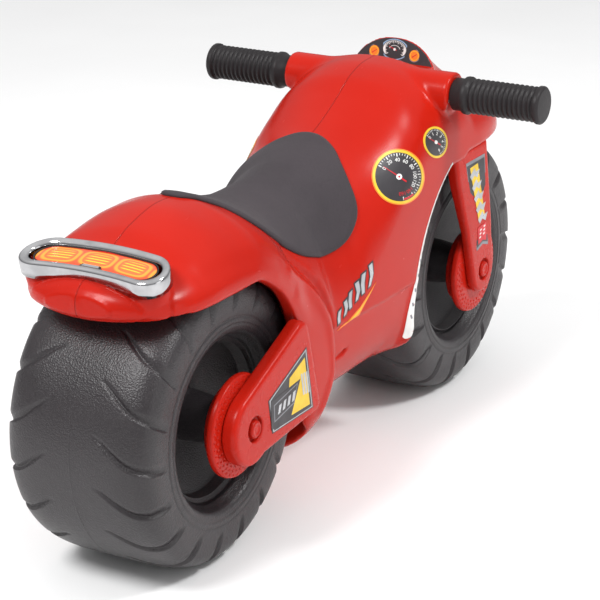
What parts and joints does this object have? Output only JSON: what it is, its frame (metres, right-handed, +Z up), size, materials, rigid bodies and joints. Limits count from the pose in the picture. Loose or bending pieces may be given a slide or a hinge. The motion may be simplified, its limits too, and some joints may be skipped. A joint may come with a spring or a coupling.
{
  "type": "foot-to-floor ride-on motorbike",
  "caption": "Child's foot-to-floor ride-on motorbike: a hollow red body with a saddle pad and fixed handlebar, on wide free-spinning wheels.",
  "frame": {"origin": "centre of the bounding box's bottom face, on the floor midway between the wheels", "axes": "+X forward, +Y to the rider's left, +Z up"},
  "size_m": [0.778, 0.384, 0.388],
  "materials": {
    "red_plastic": "glossy moulded red",
    "black_plastic": "fine-grained moulded black",
    "seat_foam": "matte charcoal foam skin",
    "chrome_plate": "vacuum-plated plastic",
    "amber_lens": "glossy amber and yellow",
    "steel": "drawn steel",
    "printed_vinyl": "printed vinyl sheet"
  },
  "bodies": {
    "frame": {"body_shell": "red_plastic", "dash_panel": "printed_vinyl", "edge_strip_sticker_left": "printed_vinyl", "edge_strip_sticker_right": "printed_vinyl", "fork_leg_left": "red_plastic", "fork_leg_right": "red_plastic", "fork_sticker_left": "printed_vinyl", "fork_sticker_right": "printed_vinyl", "front_axle": "steel", "front_axle_cap_left": "red_plastic", "front_axle_cap_right": "red_plastic", "front_disc_left": "red_plastic", "front_disc_right": "red_plastic", "grip_left": "black_plastic", "grip_right": "black_plastic", "handlebar_tube": "steel", "rear_axle": "steel", "rear_axle_cap_left": "red_plastic", "rear_axle_cap_right": "red_plastic", "rear_disc_left": "red_plastic", "rear_disc_right": "red_plastic", "rev_gauge_sticker_left": "printed_vinyl", "rev_gauge_sticker_right": "printed_vinyl", "seat_pad": "seat_foam", "side_graphic_sticker_left": "printed_vinyl", "side_graphic_sticker_right": "printed_vinyl", "speedometer_sticker_left": "printed_vinyl", "speedometer_sticker_right": "printed_vinyl", "swing_arm_left": "red_plastic", "swing_arm_right": "red_plastic", "swing_arm_sticker_left": "printed_vinyl", "swing_arm_sticker_right": "printed_vinyl", "tail_lamp_bezel": "chrome_plate", "tail_lamp_lens": "amber_lens"},
    "rear_wheel_body": {"rear_wheel": "black_plastic"},
    "front_wheel_body": {"front_wheel": "black_plastic"}
  },
  "joints": [
    {"name": "rear_wheel_spin", "type": "hinge", "parent": "frame", "child": "rear_wheel_body", "pos_m": [-0.25, 0, 0.139], "axis": [0, 1, 0], "continuous": true},
    {"name": "front_wheel_spin", "type": "hinge", "parent": "frame", "child": "front_wheel_body", "pos_m": [0.25, 0, 0.139], "axis": [0, 1, 0], "continuous": true}
  ]
}
